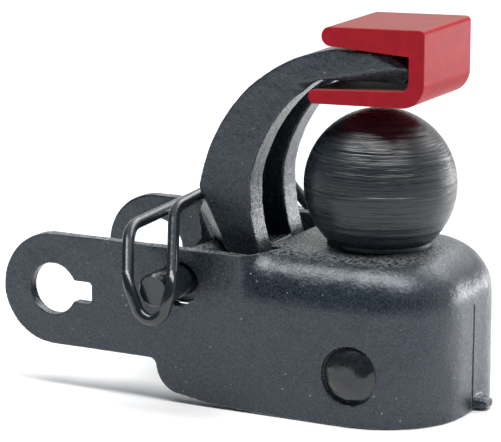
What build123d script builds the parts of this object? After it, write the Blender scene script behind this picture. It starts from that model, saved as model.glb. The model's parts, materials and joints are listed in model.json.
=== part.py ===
from build123d import *
import math
import os

os.makedirs("parts", exist_ok=True)

# Towing ball on a pressed-steel housing, with a hold-down hook on a wire-bailed pin.
# The origin is the ball's centre. +X points to the nose, +Y to the pin's head, +Z up.

# ---- driving dimensions, millimetres ----
ball_diameter = 50.0
ball_height = 72.0  # ball centre above the housing's bottom rim

rim = -ball_height  # level of the bottom rim
housing_width = 74.0
wall = 4.5
deck = rim + 52.5  # level of the housing's top face
shoulder_radius = 16.5  # bend between top face and side walls
nose_x = 34.2
nose_plan_radius = 28.5
deck_rear_x = -30.0
bend_start_x = -32.0  # the flat ears bend over into the top face between here
bend_end_x = -25.0  # and here
seam_height = 36.0
seam_width = 0.8
seam_depth = 1.3
tack_width = 7.6
tack_height = 4.4
tack_reach = 4.2  # how far the weld tack stands out from the nose
tack_y = 4.4

ear_hole_x = -102.0
ear_z = rim + 32.9
ear_end_radius = 19.0
near_hole_radius = 8.4
far_hole_radius = 10.25
key_slot_height = 6.4
key_slot_end_x = -87.7
ear_step_x = -65.5

pin_x = -55.2
pin_z = rim + 41.0
pin_radius = 5.5
pin_tip_y = -52.6
pin_hole_x = -54.4
pin_hole_z = rim + 40.1
pin_hole_radius = 7.0
pin_head_radius = 9.0
pin_head_length = 12.0

rivet_x = 6.8
rivet_z = rim + 17.0
rivet_radius = 5.0
rivet_head_radius = 9.0
rivet_seat_y = 35.6  # the flat seats pressed into the side walls
rivet_seat_play = 0.3

shank_radius = 11.0
collar_radius = 17.2
thread_pitch = 2.0
thread_rings = 6
washer_radius = 18.7
washer_thickness = 3.0
spring_washer_radius = 17.0
spring_washer_thickness = 3.5
nut_width = 32.0
nut_height = 13.0
tube_radius = 7.5  # spacer tube on the rivet
tube_half_length = 30.3

hook_half_width = 17.0
hook_channel_half_width = 7.0
hub_half_width = 9.0
hub_radius = 10.5
hook_centre = (0.0, -12.0)  # centre of the back's arc, X and Z
hook_back_radius = 58.8
bush_radius = 7.5
pin_spacer_radius = 8.0
tip_flank_depth = 3.5

cap_half_width = 18.2
wire_radius = 1.95
bail_lean = 33.0  # degrees that the bail leans back from upright
bail_loop_y = -54.9

# ---- values worked out from them ----
half_width = housing_width / 2
inner_half_width = half_width - wall
ear_top = ear_z + ear_end_radius
ear_bottom = ear_z - ear_end_radius
shoulder_low = deck - shoulder_radius
gap = 0.3  # between faces that do not bear on each other
loose = 0.2  # radial play where a shaft passes through a hole


# ---- housing ----
with BuildPart() as shell:
    # top face and nose: a deep-drawn cup, open at the bottom and at the rear
    with BuildSketch(Plane.XY.offset(rim)):
        with BuildLine():
            Polyline(
                (nose_x - nose_plan_radius, half_width),
                (bend_end_x, half_width),
                (bend_end_x, -half_width),
                (nose_x - nose_plan_radius, -half_width),
            )
            RadiusArc(
                (nose_x - nose_plan_radius, -half_width),
                (nose_x, nose_plan_radius - half_width),
                -nose_plan_radius,
            )
            Line((nose_x, nose_plan_radius - half_width), (nose_x, half_width - nose_plan_radius))
            RadiusArc(
                (nose_x, half_width - nose_plan_radius),
                (nose_x - nose_plan_radius, half_width),
                -nose_plan_radius,
            )
        make_face()
    extrude(amount=deck - rim)
    top_edges = shell.faces().sort_by(Axis.Z)[-1].edges()
    fillet(top_edges.filter_by(lambda e: e.center().X > bend_end_x + 1), shoulder_radius)
    # the hollow inside keeps the wall's thickness
    with BuildSketch(Plane.XY.offset(rim)):
        inner_nose = nose_x - wall
        inner_radius = nose_plan_radius - wall
        with BuildLine():
            Polyline(
                (nose_x - nose_plan_radius, inner_half_width),
                (bend_end_x - 1, inner_half_width),
                (bend_end_x - 1, -inner_half_width),
                (nose_x - nose_plan_radius, -inner_half_width),
            )
            RadiusArc(
                (nose_x - nose_plan_radius, -inner_half_width),
                (inner_nose, nose_plan_radius - half_width),
                -inner_radius,
            )
            Line((inner_nose, nose_plan_radius - half_width), (inner_nose, half_width - nose_plan_radius))
            RadiusArc(
                (inner_nose, half_width - nose_plan_radius),
                (nose_x - nose_plan_radius, inner_half_width),
                -inner_radius,
            )
        make_face()
    hollow = extrude(amount=deck - wall - rim, mode=Mode.PRIVATE)
    hollow_top = hollow.faces().sort_by(Axis.Z)[-1].edges()
    hollow_top = hollow_top.filter_by(lambda e: e.center().X > bend_end_x)
    add(hollow.fillet(shoulder_radius - wall, hollow_top), mode=Mode.SUBTRACT)
    # the flat middle of the top face reaches further back than its bent corners
    bend_y = half_width - shoulder_radius
    with BuildSketch(Plane.XY.offset(deck)):
        with Locations(((deck_rear_x + bend_end_x) / 2, 0)):
            Rectangle(bend_end_x - deck_rear_x, 2 * bend_y)
    extrude(amount=-wall)

    # flat ears and lower side walls, one outline for both sides
    for side in (-1, 1):
        with BuildSketch(Plane.XZ.offset(-side * half_width)):
            with BuildLine():
                ThreePointArc(
                    (ear_hole_x, ear_top),
                    (ear_hole_x - ear_end_radius, ear_z),
                    (ear_hole_x, ear_bottom),
                )
                Line((ear_hole_x, ear_bottom), (ear_step_x, ear_bottom))
                ThreePointArc(
                    (ear_step_x, ear_bottom),
                    (ear_step_x + 1.7, ear_bottom - 0.8),
                    (ear_step_x + 2.4, ear_bottom - 2.6),
                )
                ThreePointArc(
                    (ear_step_x + 2.4, ear_bottom - 2.6),
                    (ear_step_x + 4.6, ear_bottom - 7.6),
                    (ear_step_x + 9.5, ear_bottom - 10.8),
                )
                Polyline(
                    (ear_step_x + 9.5, ear_bottom - 10.8),
                    (ear_step_x + 20.0, rim + 1.4),
                    (-28.0, rim),
                    (-20.0, rim),
                    (-20.0, shoulder_low),
                    (bend_start_x, shoulder_low),
                    (bend_start_x, ear_top),
                    (ear_hole_x, ear_top),
                )
            make_face()
        extrude(amount=side * wall)

    # the corner where each flat ear bends over into the top face
    for side in (-1, 1):
        with BuildSketch(Plane.YZ.offset(bend_start_x)):
            with BuildLine():
                Polyline(
                    (side * inner_half_width, shoulder_low),
                    (side * half_width, shoulder_low),
                    (side * half_width, ear_top),
                    (side * inner_half_width, ear_top),
                    close=True,
                )
            make_face()
        with BuildSketch(Plane.YZ.offset(bend_end_x)):
            diagonal = math.sqrt(0.5)
            outer_bow = shoulder_radius * diagonal
            inner_bow = (shoulder_radius - wall) * diagonal
            with BuildLine():
                Line((side * inner_half_width, shoulder_low), (side * half_width, shoulder_low))
                ThreePointArc(
                    (side * half_width, shoulder_low),
                    (side * (bend_y + outer_bow), shoulder_low + outer_bow),
                    (side * bend_y, deck),
                )
                Line((side * bend_y, deck), (side * bend_y, deck - wall))
                ThreePointArc(
                    (side * bend_y, deck - wall),
                    (side * (bend_y + inner_bow), shoulder_low + inner_bow),
                    (side * inner_half_width, shoulder_low),
                )
            make_face()
        loft()

    # holes: ball shank, keyhole in the near ear, round hole in the far ear, pin and rivet
    with BuildSketch(Plane.XY.offset(deck)):
        Circle(shank_radius + 0.4)
    extrude(amount=-2 * wall, mode=Mode.SUBTRACT)
    with BuildSketch(Plane.XZ.offset(half_width + 1)):
        with Locations((ear_hole_x, ear_z)):
            Circle(near_hole_radius)
        with Locations(((ear_hole_x + key_slot_end_x) / 2, ear_z)):
            Rectangle(key_slot_end_x - ear_hole_x, key_slot_height)
    extrude(amount=-wall - 2, mode=Mode.SUBTRACT)
    with BuildSketch(Plane.XZ.offset(-half_width - 1)):
        with Locations((ear_hole_x, ear_z)):
            Circle(far_hole_radius)
    extrude(amount=wall + 2, mode=Mode.SUBTRACT)
    with BuildSketch(Plane.XZ.offset(half_width + 1)):
        with Locations((pin_hole_x, pin_hole_z)):
            Circle(pin_hole_radius)
        with Locations((rivet_x, rivet_z)):
            Circle(rivet_radius + loose)
    extrude(amount=-housing_width - 2, mode=Mode.SUBTRACT)
    for side in (-1, 1):
        with BuildSketch(Plane.XZ.offset(-side * rivet_seat_y)):
            with Locations((rivet_x, rivet_z)):
                Circle(rivet_head_radius + rivet_seat_play)
        extrude(amount=-side * wall, mode=Mode.SUBTRACT)
    # the vertical butt seam that closes the nose
    with BuildSketch(Plane.XY.offset(rim)):
        with Locations((nose_x, 0)):
            Rectangle(2 * seam_depth, seam_width)
    extrude(amount=seam_height, mode=Mode.SUBTRACT)
    # weld tack left at the foot of the seam
    for share, reach in ((1.0, 0.6 * tack_reach), (0.75, tack_reach)):
        with BuildSketch(Plane.YZ.offset(nose_x - 3.0)):
            with Locations((tack_y, rim + tack_height / 2)):
                SlotOverall(share * tack_width, share * tack_height)
        extrude(amount=3.0 + reach)
shell.part.label = "shell"
export_step(shell.part, "parts/shell.step")

# ---- ball with collar and threaded shank ----
nut_top = deck - wall - washer_thickness - spring_washer_thickness
nut_bottom = nut_top - nut_height
shank_end = nut_bottom - 1.0
with BuildPart() as ball:
    with BuildSketch(Plane.XZ):
        ball_radius = ball_diameter / 2
        collar_top = -math.sqrt(ball_radius**2 - collar_radius**2)
        with BuildLine():
            ThreePointArc((0, ball_radius), (ball_radius, 0), (collar_radius, collar_top))
            Polyline(
                (collar_radius, collar_top),
                (collar_radius, deck),
                (shank_radius, deck),
                (shank_radius, shank_end + 1),
                (shank_radius - 1, shank_end),
                (0, shank_end),
                (0, ball_radius),
            )
        make_face()
    revolve(axis=Axis.Z)
    # plain grooves for the thread
    for ring in range(thread_rings):
        ring_z = nut_top - 1.5 - ring * thread_pitch
        with BuildSketch(Plane.XZ):
            with Locations((shank_radius + 0.2, ring_z)):
                Rectangle(0.9, 0.7, rotation=45)
        revolve(axis=Axis.Z, mode=Mode.SUBTRACT)
ball.part.label = "ball"
export_step(ball.part, "parts/ball.step")

with BuildPart() as ball_washer:
    with BuildSketch(Plane.XY.offset(deck - wall)):
        Circle(washer_radius)
        Circle(shank_radius + gap, mode=Mode.SUBTRACT)
    extrude(amount=-washer_thickness)
    chamfer(ball_washer.edges().filter_by(GeomType.CIRCLE).group_by(SortBy.RADIUS)[-1], 0.4)
ball_washer.part.label = "ball_washer"
export_step(ball_washer.part, "parts/ball_washer.step")

with BuildPart() as ball_spring_washer:
    with BuildSketch(Plane.XY.offset(deck - wall - washer_thickness)):
        Circle(spring_washer_radius)
        Circle(shank_radius + gap, mode=Mode.SUBTRACT)
        # the slanting split
        with Locations(((shank_radius + spring_washer_radius) / 2, 0)):
            Rectangle(8.0, 1.6, rotation=25, mode=Mode.SUBTRACT)
    extrude(amount=-spring_washer_thickness)
ball_spring_washer.part.label = "ball_spring_washer"
export_step(ball_spring_washer.part, "parts/ball_spring_washer.step")

with BuildPart() as ball_nut:
    with BuildSketch(Plane.XY.offset(nut_bottom)):
        RegularPolygon(nut_width / 2, 6, major_radius=False)
        Circle(shank_radius + 0.05, mode=Mode.SUBTRACT)
    extrude(amount=nut_height)
    with BuildSketch(Plane.XY.offset(nut_bottom)):
        Circle(nut_width / 2 - 0.3)
    extrude(amount=nut_height, taper=-30, mode=Mode.INTERSECT)
ball_nut.part.label = "ball_nut"
export_step(ball_nut.part, "parts/ball_nut.step")

# ---- cross rivet that ties the side walls, with its spacer tube ----
rivet_axis = Axis((rivet_x, 0, rivet_z), (0, 1, 0))
rivet_washer_thickness = 1.8
far_head_y = rivet_seat_y + rivet_washer_thickness
with BuildPart() as front_rivet:
    with BuildSketch(Plane.XZ.offset(rivet_seat_y)):
        with Locations((rivet_x, rivet_z)):
            Circle(rivet_radius)
    extrude(amount=-rivet_seat_y - far_head_y)
    # low factory head on the near side, higher peened head on the far side
    for face_y, head_radius, rise in (
        (-rivet_seat_y, rivet_head_radius, -3.0),
        (far_head_y, 7.6, 3.6),
    ):
        with BuildSketch(Plane.YZ.offset(rivet_x)):
            with BuildLine():
                ThreePointArc(
                    (face_y + rise, rivet_z),
                    (face_y + 0.82 * rise, rivet_z + 0.55 * head_radius),
                    (face_y, rivet_z + head_radius),
                )
                Line((face_y, rivet_z + head_radius), (face_y, rivet_z))
                Line((face_y, rivet_z), (face_y + rise, rivet_z))
            make_face()
        revolve(axis=rivet_axis)
front_rivet.part.label = "front_rivet"
export_step(front_rivet.part, "parts/front_rivet.step")

with BuildPart() as rivet_washer:
    with BuildSketch(Plane.XZ.offset(-rivet_seat_y)):
        with Locations((rivet_x, rivet_z)):
            Circle(rivet_head_radius)
            Circle(rivet_radius + loose, mode=Mode.SUBTRACT)
    extrude(amount=-rivet_washer_thickness)
rivet_washer.part.label = "rivet_washer"
export_step(rivet_washer.part, "parts/rivet_washer.step")

with BuildPart() as rivet_spacer:
    with BuildSketch(Plane.XZ.offset(tube_half_length)):
        with Locations((rivet_x, rivet_z)):
            Circle(tube_radius)
            Circle(rivet_radius + loose, mode=Mode.SUBTRACT)
    extrude(amount=-2 * tube_half_length)
rivet_spacer.part.label = "rivet_spacer"
export_step(rivet_spacer.part, "parts/rivet_spacer.step")

# ---- hold-down hook ----
with BuildPart() as hook:
    # side outline, from the foot up the back and over to the tip
    arc_x, arc_z = hook_centre
    back_start = (arc_x - math.sqrt(hook_back_radius**2 - 3.0**2), arc_z + 3.0)
    back_middle = (
        arc_x - hook_back_radius * math.cos(math.radians(45)),
        arc_z + hook_back_radius * math.sin(math.radians(45)),
    )
    back_end = (arc_x - 9.0, arc_z + math.sqrt(hook_back_radius**2 - 9.0**2))
    with BuildSketch(Plane.XZ.offset(hook_half_width)):
        with BuildLine():
            ThreePointArc(back_start, back_middle, back_end)
            Polyline(
                back_end,
                (10.0, rim + 117.3),
                (16.6, rim + 114.2),
                (17.1, rim + 110.5),
                (14.0, rim + 107.4),
                (-14.6, rim + 107.0),
            )
            ThreePointArc(
                (-14.6, rim + 107.0),
                (-30.3, rim + 92.2),
                (-38.7, rim + 73.1),
            )
            ThreePointArc(
                (-38.7, rim + 73.1),
                (-38.2, rim + 60.0),
                (-34.8, rim + 47.5),
            )
            Polyline(
                (-34.8, rim + 47.5),
                (-36.6, rim + 39.0),
                (-44.0, rim + 33.5),
                (-55.2, rim + 33.5),
                (-61.4, rim + 45.5),
                (-63.2, rim + 57.0),
                (-62.6, rim + 59.3),
                back_start,
            )
        make_face()
    extrude(amount=-2 * hook_half_width)
    # hub round the pin
    with BuildSketch(Plane.XZ.offset(hub_half_width)):
        with Locations((pin_x, pin_z)):
            Circle(hub_radius)
    extrude(amount=-2 * hub_half_width)
    # the foot narrows from the ribs' width to the hub's width along a slanting facet
    for side in (-1, 1):
        with BuildSketch(Plane.XZ.offset(-side * hook_half_width)):
            with BuildLine():
                Polyline(
                    (-57.5, rim + 68.0),
                    (-40.5, rim + 34.0),
                    (-40.5, rim + 20.0),
                    (-80.0, rim + 20.0),
                    (-80.0, rim + 68.0),
                    close=True,
                )
            make_face()
        extrude(
            amount=side * (hook_half_width - hub_half_width),
            taper=45,
            mode=Mode.SUBTRACT,
        )
        with BuildSketch(Plane.XZ.offset(-side * (hook_half_width + 1))):
            with Locations((pin_x, pin_z)):
                Circle(9.0)
        extrude(amount=side * (hook_half_width + 1 - hub_half_width), mode=Mode.SUBTRACT)
    # channel between the two ribs, open towards the ball
    with BuildSketch(Plane.XZ.offset(hook_channel_half_width)):
        with BuildLine():
            ThreePointArc(
                (-46.0, rim + 50.0),
                (-43.5, rim + 83.0),
                (-17.0, rim + 107.4),
            )
            Polyline(
                (-17.0, rim + 107.4),
                (-10.0, rim + 100.0),
                (-30.0, rim + 50.0),
                (-46.0, rim + 50.0),
            )
        make_face()
    extrude(amount=-2 * hook_channel_half_width, mode=Mode.SUBTRACT)
    # the tip's flanks draw in towards the point, above and below
    for side in (-1, 1):
        for start, end in (
            ((-14.0, rim + 107.4), (13.5, rim + 113.5)),
            ((13.5, rim + 113.5), (2.0, rim + 118.6)),
        ):
            run = Vector(end[0] - start[0], end[1] - start[1]).normalized()
            out = Vector(run.Y, -run.X)
            far_start = (start[0] + 12 * out.X - 10 * run.X, start[1] + 12 * out.Y - 10 * run.Y)
            far_end = (end[0] + 12 * out.X + 10 * run.X, end[1] + 12 * out.Y + 10 * run.Y)
            near_start = (start[0] - 10 * run.X, start[1] - 10 * run.Y)
            near_end = (end[0] + 10 * run.X, end[1] + 10 * run.Y)
            with BuildSketch(Plane.XZ.offset(-side * hook_half_width)):
                with BuildLine():
                    Polyline(near_start, near_end, far_end, far_start, close=True)
                make_face()
            extrude(amount=side * tip_flank_depth, taper=50, mode=Mode.SUBTRACT)
    # bore for the bush
    with BuildSketch(Plane.XZ.offset(hub_half_width + 1)):
        with Locations((pin_x, pin_z)):
            Circle(bush_radius)
    extrude(amount=-2 * hub_half_width - 2, mode=Mode.SUBTRACT)
hook.part.label = "hook"
export_step(hook.part, "parts/hook.step")

with BuildPart() as hook_bush:
    with BuildSketch(Plane.XZ.offset(hub_half_width)):
        with Locations((pin_x, pin_z)):
            Circle(bush_radius)
            Circle(pin_radius + 0.06, mode=Mode.SUBTRACT)
    extrude(amount=-2 * hub_half_width)
hook_bush.part.label = "hook_bush"
export_step(hook_bush.part, "parts/hook_bush.step")

# tubes on the pin that hold the hook in the middle
for name, side in (("near_spacer", -1), ("far_spacer", 1)):
    with BuildPart() as spacer:
        with BuildSketch(Plane.XZ.offset(-side * (hub_half_width + gap))):
            with Locations((pin_x, pin_z)):
                Circle(pin_spacer_radius)
                Circle(pin_radius + loose, mode=Mode.SUBTRACT)
        extrude(amount=-side * (inner_half_width - hub_half_width - 2 * gap))
    spacer.part.label = name
    export_step(spacer.part, "parts/" + name + ".step")

# ---- plastic cap on the hook's tip ----
with BuildPart() as tip_cap:
    with BuildSketch(Plane.XZ.offset(cap_half_width)):
        with BuildLine():
            # outside: lower lip, rounded web, upper lip
            Line((-15.2, rim + 99.8), (14.5, rim + 100.9))
            ThreePointArc((14.5, rim + 100.9), (20.9, rim + 103.5), (23.0, rim + 109.4))
            Line((23.0, rim + 109.4), (23.0, rim + 124.6))
            ThreePointArc((23.0, rim + 124.6), (22.5, rim + 125.8), (21.2, rim + 126.3))
            Line((21.2, rim + 126.3), (-10.0, rim + 125.1))
            # rounded end of the upper lip
            ThreePointArc((-10.0, rim + 125.1), (-13.1, rim + 121.9), (-9.8, rim + 118.8))
            # inside: upper lip, web, lower lip
            Line((-9.8, rim + 118.8), (17.6, rim + 117.5))
            Line((17.6, rim + 117.5), (17.6, rim + 108.9))
            ThreePointArc((17.6, rim + 108.9), (16.8, rim + 107.2), (15.0, rim + 106.4))
            Line((15.0, rim + 106.4), (-15.4, rim + 104.4))
            ThreePointArc((-15.4, rim + 104.4), (-17.6, rim + 102.0), (-15.2, rim + 99.8))
        make_face()
    extrude(amount=-2 * cap_half_width)
    fillet(tip_cap.faces().filter_by(Axis.Y).edges().filter_by(lambda e: e.length > 6), 0.5)
tip_cap.part.label = "tip_cap"
export_step(tip_cap.part, "parts/tip_cap.step")

# ---- lock pin and its wire bail ----
head_y = half_width + gap
bail_hinge_y = head_y + 6.2
lean = math.radians(bail_lean)


def bail_point(across, out, y):
    """A point given along the bail's hinge, out from the pin's axis, and along the pin."""
    return Vector(
        pin_x + across * math.cos(lean) - out * math.sin(lean),
        y,
        pin_z + across * math.sin(lean) + out * math.cos(lean),
    )


with BuildPart() as lock_pin:
    with BuildSketch(Plane.XZ.offset(-head_y)):
        with Locations((pin_x, pin_z)):
            Circle(pin_radius)
    extrude(amount=head_y - pin_tip_y)
    chamfer(lock_pin.faces().sort_by(Axis.Y)[0].edges(), 0.8)
    with BuildSketch(Plane.XZ.offset(-head_y)):
        with Locations((pin_x, pin_z)):
            Circle(pin_head_radius)
    extrude(amount=-pin_head_length)
    chamfer(lock_pin.faces().sort_by(Axis.Y)[-1].edges(), 1.0)
    hinge_plane = Plane(
        origin=bail_point(-12, 0, bail_hinge_y),
        z_dir=(math.cos(lean), 0, math.sin(lean)),
    )
    with BuildSketch(hinge_plane):
        Circle(wire_radius + 0.1)
    extrude(amount=24, mode=Mode.SUBTRACT)
lock_pin.part.label = "lock_pin"
export_step(lock_pin.part, "parts/lock_pin.step")

with BuildPart() as wire_bail:
    with BuildLine() as bail_path:
        FilletPolyline(
            bail_point(3.0, 0, bail_hinge_y),
            bail_point(12.8, 0, bail_hinge_y),
            bail_point(9.0, 26.0, 41.0),
            bail_point(6.5, 21.5, -27.0),
            bail_point(8.3, -2.5, bail_loop_y),
            bail_point(-0.6, -9.6, bail_loop_y),
            bail_point(-7.5, -6.3, bail_loop_y),
            bail_point(-5.4, 6.1, bail_loop_y),
            bail_point(-6.2, 23.1, -37.0),
            bail_point(-9.0, 26.0, 41.0),
            bail_point(-12.8, 0, bail_hinge_y),
            bail_point(-3.0, 0, bail_hinge_y),
            radius=(3.4, 4.5, 16.0, 9.0, 5.5, 5.5, 9.0, 18.0, 4.5, 3.4),
        )
    start_plane = Plane(
        origin=bail_point(3.0, 0, bail_hinge_y),
        z_dir=(math.cos(lean), 0, math.sin(lean)),
    )
    with BuildSketch(start_plane):
        Circle(wire_radius)
    sweep(path=bail_path.line)
wire_bail.part.label = "wire_bail"
export_step(wire_bail.part, "parts/wire_bail.step")
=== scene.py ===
"""Looks of the towing ball hitch: paint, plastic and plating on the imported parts, on a pale studio floor."""

import json
import math

import bpy
from mathutils import Matrix, Vector


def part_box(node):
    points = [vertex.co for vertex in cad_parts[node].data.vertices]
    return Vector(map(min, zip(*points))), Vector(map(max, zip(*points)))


MM = 0.001

WELD_MM = 0.004  # vertices nearer than this are one
SHARP_DEG = 32  # edges that turn more than this are rounded

# paint, linear RGB
SPECK_GREY = (0.13, 0.155, 0.18)  # bare grains that show through the black
DOT_GREY = (0.36, 0.39, 0.41)  # single bright dust dots
UPWARD_SHEEN_GREY = (0.22, 0.23, 0.23)  # painted sheen in small lumps on the faces that look up
EDGE_HIGHLIGHT_GREY = (0.30, 0.32, 0.33)  # painted highlight along the sharp edges
COOL_GLOSS = (0.84, 0.92, 1.0, 1.0)  # tint of the black paint's reflection

# the room, linear RGB
ROOM_DARK = (0.05, 0.07, 0.09, 1)
ROOM_BRIGHT = (1.0, 1.0, 1.0, 1)
BACKDROP_DIRECTION = (0.30, 0.92, 0.25)
FLOOR_HALF_SIZE = 8.0

# the photograph's camera, solved from the ball, the ears' holes and the cap
CAMERA_PLACE = (0.43461, -0.92044, 0.21353)
CAMERA_YAW_DEG = 27.646
CAMERA_PITCH_DEG = 12.536
CAMERA_ROLL_DEG = 0.252
CAMERA_LENS_MM = 230.4

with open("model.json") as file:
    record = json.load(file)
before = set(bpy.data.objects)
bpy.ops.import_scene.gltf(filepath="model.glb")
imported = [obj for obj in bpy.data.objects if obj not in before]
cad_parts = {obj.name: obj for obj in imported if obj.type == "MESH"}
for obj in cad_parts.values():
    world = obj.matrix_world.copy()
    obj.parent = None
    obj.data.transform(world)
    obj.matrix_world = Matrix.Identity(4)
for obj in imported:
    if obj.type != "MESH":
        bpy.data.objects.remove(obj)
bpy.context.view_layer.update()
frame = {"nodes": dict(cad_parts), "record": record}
nodes = frame["nodes"]
floor_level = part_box("shell")[0].z


# ---------------------------------------------------------------- node helpers
class Paint:
    """A material's node tree, built up from procedural patterns in the object's own coordinates."""

    def __init__(self, name):
        self.material = bpy.data.materials.new(name)
        self.material.use_nodes = True
        self.tree = self.material.node_tree
        self.shader = self.tree.nodes["Principled BSDF"]
        self.place = self.tree.nodes.new("ShaderNodeTexCoord").outputs["Object"]

    def link(self, source, target):
        """Feeds one socket into another."""
        self.tree.links.new(source, target)

    def stretched(self, scale):
        """The object's coordinates, stretched by a scale for each axis."""
        mapping = self.tree.nodes.new("ShaderNodeMapping")
        mapping.inputs["Scale"].default_value = scale
        self.link(self.place, mapping.inputs["Vector"])
        return mapping.outputs["Vector"]

    def noise(self, size_mm, detail=3.0, roughness=0.55, place=None):
        """A noise whose blobs are about size_mm across, from 0 to 1."""
        node = self.tree.nodes.new("ShaderNodeTexNoise")
        node.inputs["Scale"].default_value = 1 / (size_mm * MM)
        node.inputs["Detail"].default_value = detail
        node.inputs["Roughness"].default_value = roughness
        self.link(place or self.place, node.inputs["Vector"])
        return node.outputs["Fac"]

    def cells(self, size_mm):
        """The distance to the nearest of scattered points about size_mm apart."""
        node = self.tree.nodes.new("ShaderNodeTexVoronoi")
        node.inputs["Scale"].default_value = 1 / (size_mm * MM)
        self.link(self.place, node.inputs["Vector"])
        return node.outputs["Distance"]

    def ramp(self, value, *stops):
        """value turned into a colour or a grey by stops of (position, colour or grey)."""
        node = self.tree.nodes.new("ShaderNodeValToRGB")
        elements = node.color_ramp.elements
        while len(elements) < len(stops):
            elements.new(0.5)
        for element, (position, colour) in zip(elements, stops):
            element.position = position
            if not isinstance(colour, tuple):
                colour = (colour, colour, colour)
            element.color = (*colour, 1)
        self.link(value, node.inputs["Fac"])
        return node.outputs["Color"]

    def mix(self, share, first, second):
        """first where share is 0, second where it is 1; each is a colour or another pattern."""
        node = self.tree.nodes.new("ShaderNodeMix")
        node.data_type = "RGBA"
        for name, kind, value in (("Factor", "VALUE", share), ("A", "RGBA", first), ("B", "RGBA", second)):
            target = next(s for s in node.inputs if s.name == name and s.type == kind)
            if isinstance(value, tuple):
                target.default_value = (*value, 1)
            else:
                self.link(value, target)
        return next(s for s in node.outputs if s.type == "RGBA")

    def maths(self, operation, first, second):
        """Two numbers or patterns put through one arithmetic operation."""
        node = self.tree.nodes.new("ShaderNodeMath")
        node.operation = operation
        for socket, value in zip(node.inputs, (first, second)):
            if isinstance(value, float):
                socket.default_value = value
            else:
                self.link(value, socket)
        return node.outputs["Value"]

    def bumps(self, *layers):
        """Bump layers of (height pattern, depth in mm), laid one over another."""
        normal = None
        for height, depth_mm in layers:
            bump = self.tree.nodes.new("ShaderNodeBump")
            bump.inputs["Strength"].default_value = 1.0
            bump.inputs["Distance"].default_value = depth_mm * MM
            self.link(height, bump.inputs["Height"])
            if normal:
                self.link(normal, bump.inputs["Normal"])
            normal = bump.outputs["Normal"]
        self.link(normal, self.shader.inputs["Normal"])

    def edges(self, radius_mm, low, high):
        """1 along the object's sharp edges, 0 on its faces."""
        bevel = self.tree.nodes.new("ShaderNodeBevel")
        bevel.samples = 6
        bevel.inputs["Radius"].default_value = radius_mm * MM
        geometry = self.tree.nodes.new("ShaderNodeNewGeometry")
        dot = self.tree.nodes.new("ShaderNodeVectorMath")
        dot.operation = "DOT_PRODUCT"
        self.link(bevel.outputs["Normal"], dot.inputs[0])
        self.link(geometry.outputs["Normal"], dot.inputs[1])
        return self.ramp(self.maths("SUBTRACT", 1.0, dot.outputs["Value"]), (low, 0.0), (high, 1.0))

    def upward(self, low, high):
        """0 where the normal's Z is below low, 1 where it is above high."""
        geometry = self.tree.nodes.new("ShaderNodeNewGeometry")
        axes = self.tree.nodes.new("ShaderNodeSeparateXYZ")
        self.link(geometry.outputs["Normal"], axes.inputs["Vector"])
        return self.ramp(axes.outputs["Z"], (low, 0.0), (high, 1.0))

    def set(self, **values):
        """Plain values on the shader's own sockets."""
        names = {"metallic": "Metallic", "specular": "Specular IOR Level", "tint": "Specular Tint"}
        for name, value in values.items():
            self.shader.inputs[names[name]].default_value = value

    def colour(self, source):
        """Feeds a pattern into the base colour."""
        self.link(source, self.shader.inputs["Base Color"])

    def roughness(self, source):
        """Feeds a pattern into the roughness."""
        self.link(source, self.shader.inputs["Roughness"])


def black_paint(name, tone, grain_mm, grain_depth, speckle):
    """Satin black paint: cloudy tone, orange peel, specks and dots, painted sheen on top, painted highlight on
    sharp edges.
    """
    paint = Paint(name)
    cloud = paint.noise(22, 4)
    grain = paint.noise(grain_mm, 4, 0.6)
    grit = paint.noise(0.6, 3, 0.8)
    specks = paint.ramp(grit, (0.40, 0.0), (0.58, 0.45), (0.68, 1.0))
    dark = tuple(0.6 * c for c in tone)
    base = paint.mix(paint.ramp(cloud, (0.3, 0.0), (0.7, 1.0)), dark, tone)
    base = paint.mix(paint.maths("MULTIPLY", specks, speckle), base, SPECK_GREY)
    lumps = paint.ramp(paint.noise(1.1, 2), (0.42, 0.0), (0.58, 1.0))
    # painted sheen: lighter grey lumps on the faces that look up, which also bump the paint
    sheen_lumps = paint.maths("MULTIPLY", paint.upward(0.90, 0.99), lumps)
    base = paint.mix(paint.maths("MULTIPLY", sheen_lumps, 0.6), base, UPWARD_SHEEN_GREY)
    dots = paint.ramp(paint.cells(4.0), (0.03, 1.0), (0.08, 0.0))
    base = paint.mix(dots, base, DOT_GREY)
    # painted highlight: paler grey along the sharp edges, found with the bevel normal
    edge_highlight = paint.maths("MULTIPLY", paint.edges(0.6, 0.02, 0.14), 0.75)
    paint.colour(paint.mix(edge_highlight, base, EDGE_HIGHLIGHT_GREY))
    paint.roughness(paint.ramp(grain, (0.25, 0.17), (0.75, 0.34)))
    paint.bumps((paint.noise(7, 2), 0.22), (grain, grain_depth), (grit, 0.08), (sheen_lumps, 0.22))
    paint.set(specular=0.6, tint=COOL_GLOSS)
    return paint.material


def turned_black():
    """Black finish over lathe rings round the ball's axis, some in deeper groups."""
    paint = Paint("turned_black")
    rings = paint.stretched((0.02, 0.02, 1.0))
    fine = paint.noise(0.7, 3, 0.7, rings)
    coarse = paint.ramp(paint.noise(3.0, 3, 0.6, rings), (0.50, 0.0), (0.60, 1.0))
    paint.colour(paint.ramp(fine, (0.35, (0.006, 0.009, 0.013)), (0.72, (0.022, 0.027, 0.033))))
    paint.roughness(paint.ramp(fine, (0.3, 0.20), (0.7, 0.36)))
    paint.bumps((coarse, 0.20), (fine, 0.26), (paint.noise(0.7, 2), 0.02))
    paint.set(specular=0.5)
    return paint.material


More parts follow.
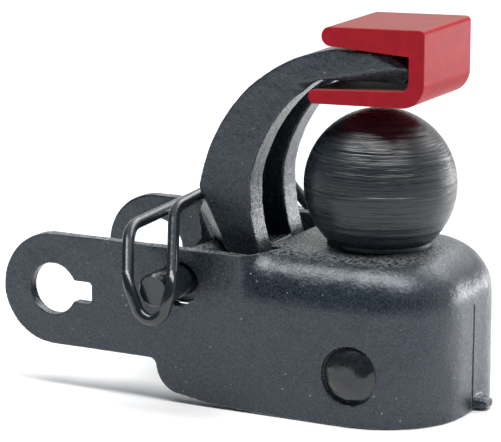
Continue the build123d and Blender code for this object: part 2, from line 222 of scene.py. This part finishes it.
def wire_black():
    """Smooth black coating on drawn wire, with faint draw marks and thin spots."""
    paint = Paint("wire_black")
    wear = paint.ramp(paint.noise(3.0, 4), (0.62, 0.0), (0.75, 1.0))
    thin_spots = paint.maths("MULTIPLY", wear, 0.5)
    paint.colour(paint.mix(thin_spots, (0.010, 0.015, 0.020), (0.09, 0.10, 0.11)))
    paint.roughness(paint.ramp(paint.noise(1.2, 3), (0.3, 0.14), (0.7, 0.28)))
    paint.bumps((paint.noise(0.8, 3), 0.04), (paint.noise(5.0, 2), 0.10))
    paint.set(specular=0.65)
    return paint.material


def rivet_black():
    """Glossier black paint over hammer facets."""
    paint = Paint("rivet_black")
    facets = paint.cells(5.5)
    blotch = paint.noise(2.0, 4)
    paint.colour(paint.ramp(blotch, (0.3, (0.007, 0.009, 0.011)), (0.72, (0.020, 0.022, 0.025))))
    paint.roughness(paint.ramp(paint.noise(1.5, 3), (0.3, 0.10), (0.7, 0.22)))
    paint.bumps((facets, 0.6), (paint.noise(1.0, 3), 0.05))
    paint.set(specular=0.55)
    return paint.material


def plated_steel():
    """Dull zinc plating with fine machining marks and darker blotches."""
    paint = Paint("plated_steel")
    blotch = paint.noise(5.0, 5, 0.65)
    paint.colour(paint.ramp(blotch, (0.3, (0.22, 0.21, 0.19)), (0.7, (0.50, 0.49, 0.45))))
    paint.roughness(paint.ramp(paint.noise(1.4, 3), (0.3, 0.28), (0.7, 0.5)))
    paint.bumps((paint.noise(0.5, 3, 0.6, paint.stretched((1.0, 1.0, 6.0))), 0.03))
    paint.set(metallic=1.0)
    return paint.material


def bush_bronze():
    """Sintered bronze with open pores."""
    paint = Paint("bush_bronze")
    pores = paint.cells(0.6)
    paint.colour(paint.ramp(pores, (0.1, (0.16, 0.10, 0.05)), (0.4, (0.52, 0.35, 0.17))))
    paint.roughness(paint.ramp(paint.noise(2.0, 3), (0.3, 0.34), (0.7, 0.52)))
    paint.bumps((pores, 0.06))
    paint.set(metallic=1.0)
    return paint.material


def red_plastic():
    """Moulded red plastic with a fine grain, and a painted sheen, paler and browner, on the faces that look
    up.
    """
    paint = Paint("red_plastic")
    grain = paint.noise(0.5, 3, 0.65)
    # painted sheen: paler, browner red on the faces that look up, broken by the fine grain
    upward = paint.upward(0.6, 0.95)
    top_sheen_grain = paint.ramp(grain, (0.35, 0.45), (0.75, 0.95))
    red = paint.ramp(paint.noise(6.0, 4), (0.3, (0.30, 0.009, 0.017)), (0.7, (0.38, 0.013, 0.023)))
    red_with_top_sheen = paint.mix(paint.maths("MULTIPLY", upward, top_sheen_grain), red, (0.15, 0.075, 0.062))
    # painted highlight: paler red along the sharp edges, found with the bevel normal
    red_edge_highlight = paint.maths("MULTIPLY", paint.edges(0.6, 0.02, 0.2), 0.3)
    paint.colour(paint.mix(red_edge_highlight, red_with_top_sheen, (0.55, 0.06, 0.05)))
    paint.roughness(paint.ramp(grain, (0.3, 0.36), (0.7, 0.52)))
    paint.bumps((grain, 0.03), (paint.noise(8, 2), 0.15))
    paint.set(specular=0.08)
    return paint.material


finishes = {
    "black_paint": black_paint(
        "black_paint", tone=(0.008, 0.013, 0.020), grain_mm=1.3, grain_depth=0.12, speckle=0.38
    ),
    "forged_black": black_paint(
        "forged_black", tone=(0.009, 0.015, 0.022), grain_mm=1.8, grain_depth=0.22, speckle=0.42
    ),
    "turned_black": turned_black(),
    "wire_black": wire_black(),
    "rivet_black": rivet_black(),
    "plated_steel": plated_steel(),
    "bush_bronze": bush_bronze(),
    "red_plastic": red_plastic(),
}

for part in frame["record"]["subparts"]:
    mesh = nodes[part["node"]].data
    mesh.materials.clear()
    mesh.materials.append(finishes[part["material_slot"]])


# ---------------------------------------------------------------- softened edges
def weld(piece):
    """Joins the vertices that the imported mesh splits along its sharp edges."""
    joined = piece.modifiers.new("weld", "WELD")
    joined.merge_threshold = WELD_MM * MM


def soften(name, width_mm):
    """Rounds a node's sharp edges with a small bevel."""
    piece = nodes[name]
    weld(piece)
    bevel = piece.modifiers.new("soft_edges", "BEVEL")
    bevel.width = width_mm * MM
    bevel.segments = 3
    bevel.limit_method = "ANGLE"
    bevel.angle_limit = math.radians(SHARP_DEG)
    bevel.harden_normals = True


def forge(name, cell_mm, rounds, dents):
    """Gives a node an even skin with rounded edges and shallow dents of (size in mm, depth in mm)."""
    piece = nodes[name]
    weld(piece)
    skin = piece.modifiers.new("skin", "REMESH")
    skin.mode = "VOXEL"
    skin.voxel_size = cell_mm * MM
    skin.use_smooth_shade = True
    smooth = piece.modifiers.new("rounded", "SMOOTH")
    smooth.factor = 0.5
    smooth.iterations = rounds
    for size_mm, depth_mm in dents:
        pattern = bpy.data.textures.new(f"{name}_dents_{size_mm}", "CLOUDS")
        pattern.noise_scale = size_mm * MM
        pattern.noise_depth = 2
        push = piece.modifiers.new(f"dents_{size_mm}", "DISPLACE")
        push.texture = pattern
        push.texture_coords = "LOCAL"
        push.strength = depth_mm * MM
        push.mid_level = 1.0


forge("shell", cell_mm=0.45, rounds=5, dents=[(14, 0.5)])
forge("hook", cell_mm=0.5, rounds=14, dents=[(18, 0.5), (3, 0.10)])
soften("ball_nut", width_mm=0.3)


# ---------------------------------------------------------------- floor, light and camera
def floor():
    """The pale floor that the object stands on."""
    size = FLOOR_HALF_SIZE
    corners = [(-size, -size, 0), (size, -size, 0), (size, size, 0), (-size, size, 0)]
    mesh = bpy.data.meshes.new("floor")
    mesh.from_pydata(corners, [], [(0, 1, 2, 3)])
    piece = bpy.data.objects.new("floor", mesh)
    bpy.context.scene.collection.objects.link(piece)
    piece.location = (0, 0, floor_level)
    paint = Paint("floor_white")
    paint.colour(paint.ramp(paint.noise(300, 2), (0.3, (0.86, 0.87, 0.89)), (0.7, (0.90, 0.90, 0.91))))
    paint.set(specular=0.1)
    mesh.materials.append(paint.material)


def softbox(name, place, target, width, height, power, colour=(1, 1, 1)):
    """A rectangular light that looks from place to target and that the camera doesn't see."""
    light = bpy.data.lights.new(name, "AREA")
    light.shape = "RECTANGLE"
    light.size = width
    light.size_y = height
    light.energy = power
    light.color = colour
    lamp = bpy.data.objects.new(name, light)
    bpy.context.scene.collection.objects.link(lamp)
    lamp.location = place
    lamp.visible_camera = False
    lamp.rotation_mode = "QUATERNION"
    lamp.rotation_quaternion = (Vector(target) - Vector(place)).to_track_quat("-Z", "Y")


def studio():
    """A dim room with a bright backdrop, and softboxes above, behind and beside the object."""
    world = bpy.data.worlds.new("studio")
    bpy.context.scene.world = world
    world.use_nodes = True
    tree = world.node_tree
    background = tree.nodes["Background"]
    direction = tree.nodes.new("ShaderNodeTexCoord").outputs["Generated"]
    towards = tree.nodes.new("ShaderNodeVectorMath")
    towards.operation = "DOT_PRODUCT"
    towards.inputs[1].default_value = BACKDROP_DIRECTION
    tree.links.new(direction, towards.inputs[0])
    ramp = tree.nodes.new("ShaderNodeValToRGB")
    ramp.color_ramp.elements[0].position = 0.05
    ramp.color_ramp.elements[0].color = ROOM_DARK
    ramp.color_ramp.elements[1].position = 0.75
    ramp.color_ramp.elements[1].color = ROOM_BRIGHT
    tree.links.new(towards.outputs["Value"], ramp.inputs["Fac"])
    tree.links.new(ramp.outputs["Color"], background.inputs["Color"])
    background.inputs["Strength"].default_value = 0.9
    softbox(
        "overhead",
        place=(0.10, -0.22, 1.35),
        target=(0.10, 0, -0.05),
        width=2.0,
        height=0.5,
        power=36.0,
        colour=(1.0, 0.99, 0.97),
    )
    softbox("behind", place=(0.2, 1.6, 1.3), target=(0, 0.6, -0.07), width=1.8, height=0.8, power=17.0)
    softbox("nose", place=(0.40, 0.70, -0.02), target=(0.03, 0, -0.06), width=0.5, height=0.10, power=1.6)


def camera():
    """A long lens a little above the object, as in the photograph."""
    yaw = math.radians(CAMERA_YAW_DEG)
    pitch = math.radians(CAMERA_PITCH_DEG)
    roll = math.radians(CAMERA_ROLL_DEG)
    back = Vector((math.sin(yaw) * math.cos(pitch), -math.cos(yaw) * math.cos(pitch), math.sin(pitch)))
    level = Vector((math.cos(yaw), math.sin(yaw), 0))
    upright = back.cross(level)
    right = math.cos(roll) * level + math.sin(roll) * upright
    up = math.cos(roll) * upright - math.sin(roll) * level
    data = bpy.data.cameras.new("camera")
    data.sensor_width = 36.0
    data.lens = CAMERA_LENS_MM
    data.clip_end = 50.0
    piece = bpy.data.objects.new("camera", data)
    bpy.context.scene.collection.objects.link(piece)
    turn = Matrix((right, up, back)).transposed().to_4x4()
    piece.matrix_world = Matrix.Translation(CAMERA_PLACE) @ turn
    bpy.context.scene.camera = piece


bpy.context.scene.view_settings.view_transform = "Standard"
floor()
studio()
camera()
